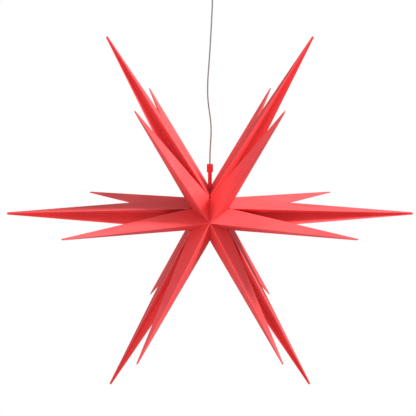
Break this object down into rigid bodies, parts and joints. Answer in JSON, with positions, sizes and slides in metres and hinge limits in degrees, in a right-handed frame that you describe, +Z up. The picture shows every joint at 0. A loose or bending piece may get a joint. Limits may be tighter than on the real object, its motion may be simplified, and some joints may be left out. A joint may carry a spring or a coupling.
{
  "type": "star pendant lamp",
  "caption": "Hanging star lampshade of long folded points round a small lamp, on a thin cord from a ceiling cup.",
  "frame": {"origin": "centre of the ceiling plate's face, where it meets the ceiling, on the cord's line", "axes": "+Z up out of the plate into the ceiling; the star faces -Y; +X to the right seen from the front"},
  "size_m": [0.57, 0.4388, 0.6054],
  "materials": {
    "star_sheet": "satin, slightly translucent",
    "red_plastic": "satin moulded",
    "white_plastic": "satin moulded",
    "clear_cord": "clear sheath",
    "zinc_steel": "zinc plated",
    "brass": "plain",
    "natural_nylon": "moulded",
    "lamp_glass": "frosted",
    "emitter_yellow": "phosphor"
  },
  "bodies": {
    "ceiling_fitting": {"ceiling_plate": "zinc_steel", "ceiling_cup": "white_plastic", "cup_screws": "zinc_steel", "terminal_block": "natural_nylon", "terminal_screws": "brass", "ceiling_lead": "clear_cord", "cord_gland": "white_plastic"},
    "ball_stop": {"cord_stop": "white_plastic"},
    "cord": {"hanging_cord": "clear_cord"},
    "star": {"hanger_fork": "red_plastic", "cord_grip_nut": "red_plastic", "lamp_cord": "clear_cord", "lamp_holder": "white_plastic", "lamp_contacts": "brass", "front_point_1": "star_sheet", "front_point_2": "star_sheet", "front_point_3": "star_sheet", "front_point_4": "star_sheet", "front_point_5": "star_sheet", "front_point_6": "star_sheet", "middle_point_1": "star_sheet", "middle_point_2": "star_sheet", "middle_point_3": "star_sheet", "middle_point_4": "star_sheet", "middle_point_5": "star_sheet", "middle_point_6": "star_sheet", "back_point_1": "star_sheet", "back_point_2": "star_sheet", "back_point_3": "star_sheet", "back_point_4": "star_sheet", "back_point_5": "star_sheet", "back_point_6": "star_sheet"},
    "lamp": {"lamp_base": "white_plastic", "lamp_pins": "brass", "lamp_bulb": "lamp_glass", "lamp_emitter": "emitter_yellow"}
  },
  "joints": [
    {"name": "swing_front_back", "type": "hinge", "parent": "ceiling_fitting", "child": "ball_stop", "pos_m": [0, 0, -0.01768], "axis": [1, 0, 0], "range_deg": [-20, 20]},
    {"name": "swing_sideways", "type": "hinge", "parent": "ball_stop", "child": "cord", "pos_m": [0, 0, -0.01768], "axis": [0, 1, 0], "range_deg": [-20, 20]},
    {"name": "star_turn", "type": "hinge", "parent": "cord", "child": "star", "pos_m": [0, 0, -0.288], "axis": [0, 0, 1], "range_deg": [-180, 180]},
    {"name": "lamp_pull", "type": "slide", "parent": "star", "child": "lamp", "axis": [0, 0, -1], "range_m": [0, 0.012]}
  ]
}
